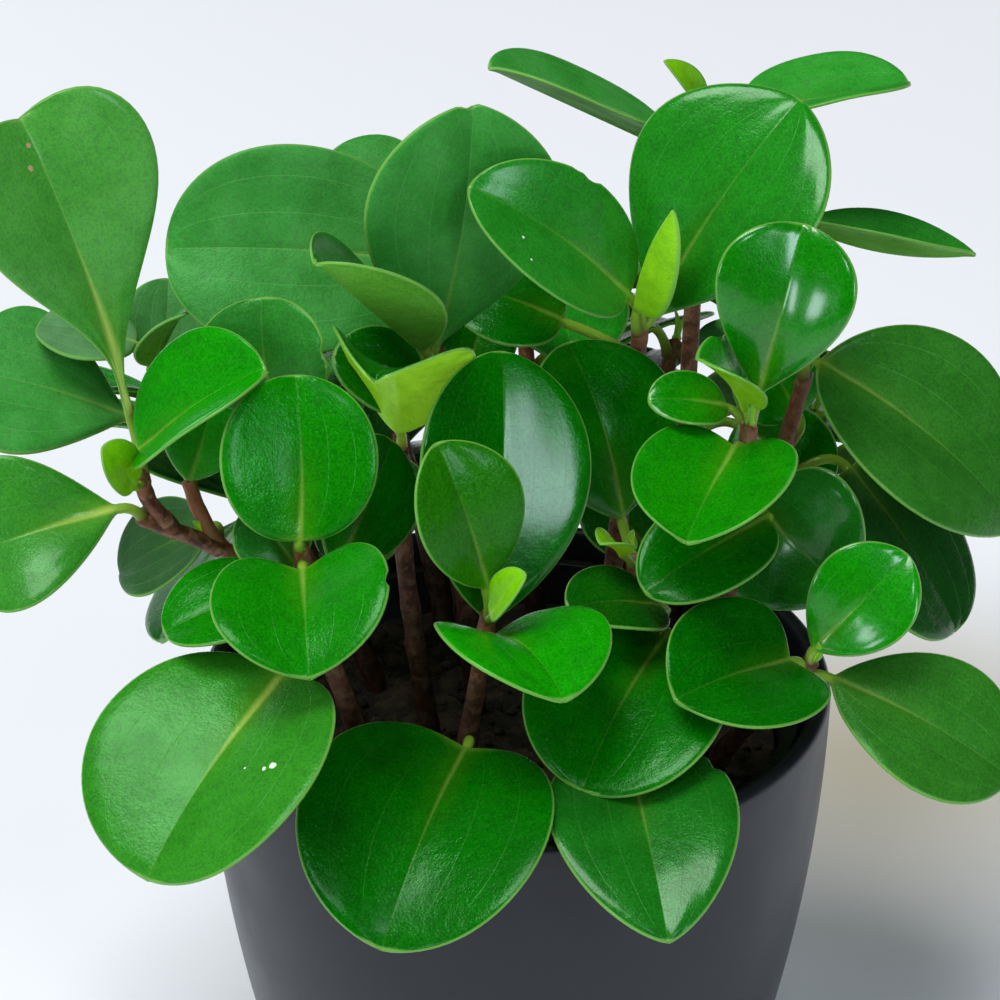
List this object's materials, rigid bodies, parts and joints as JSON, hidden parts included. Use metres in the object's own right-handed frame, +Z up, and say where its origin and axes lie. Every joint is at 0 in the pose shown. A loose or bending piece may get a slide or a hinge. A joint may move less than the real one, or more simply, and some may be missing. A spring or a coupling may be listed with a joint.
{
  "type": "potted peperomia",
  "caption": "Bushy round-leaved peperomia with glossy thick leaves on short stems, growing in a nursery pot that stands in a smooth dark tapered outer pot.",
  "frame": {"origin": "centre of the outer pot's flat foot, on the surface that it stands on", "axes": "+Z up, -Y towards the side that the picture shows, +X to the right as seen from that side"},
  "size_m": [0.2845, 0.2476, 0.3264],
  "materials": {
    "pot": "matte",
    "nursery_pot": "matte",
    "soil": "matte",
    "foliage": "gloss"
  },
  "bodies": {
    "root": {"pot": "pot", "nursery_pot": "nursery_pot", "soil": "soil", "shoot_left": "foliage", "shoot_back_left": "foliage", "shoot_front_left": "foliage", "shoot_tall_left": "foliage", "shoot_back_middle": "foliage", "shoot_middle_left": "foliage", "shoot_front": "foliage", "shoot_middle": "foliage", "shoot_tall_right": "foliage", "shoot_top_right": "foliage", "shoot_right": "foliage", "shoot_far_right": "foliage", "shoot_front_right": "foliage", "shoot_rear_left": "foliage", "shoot_rear_mid_left": "foliage", "shoot_rear_middle": "foliage", "shoot_rear_mid_right": "foliage", "shoot_rear_right": "foliage"}
  },
  "joints": []
}
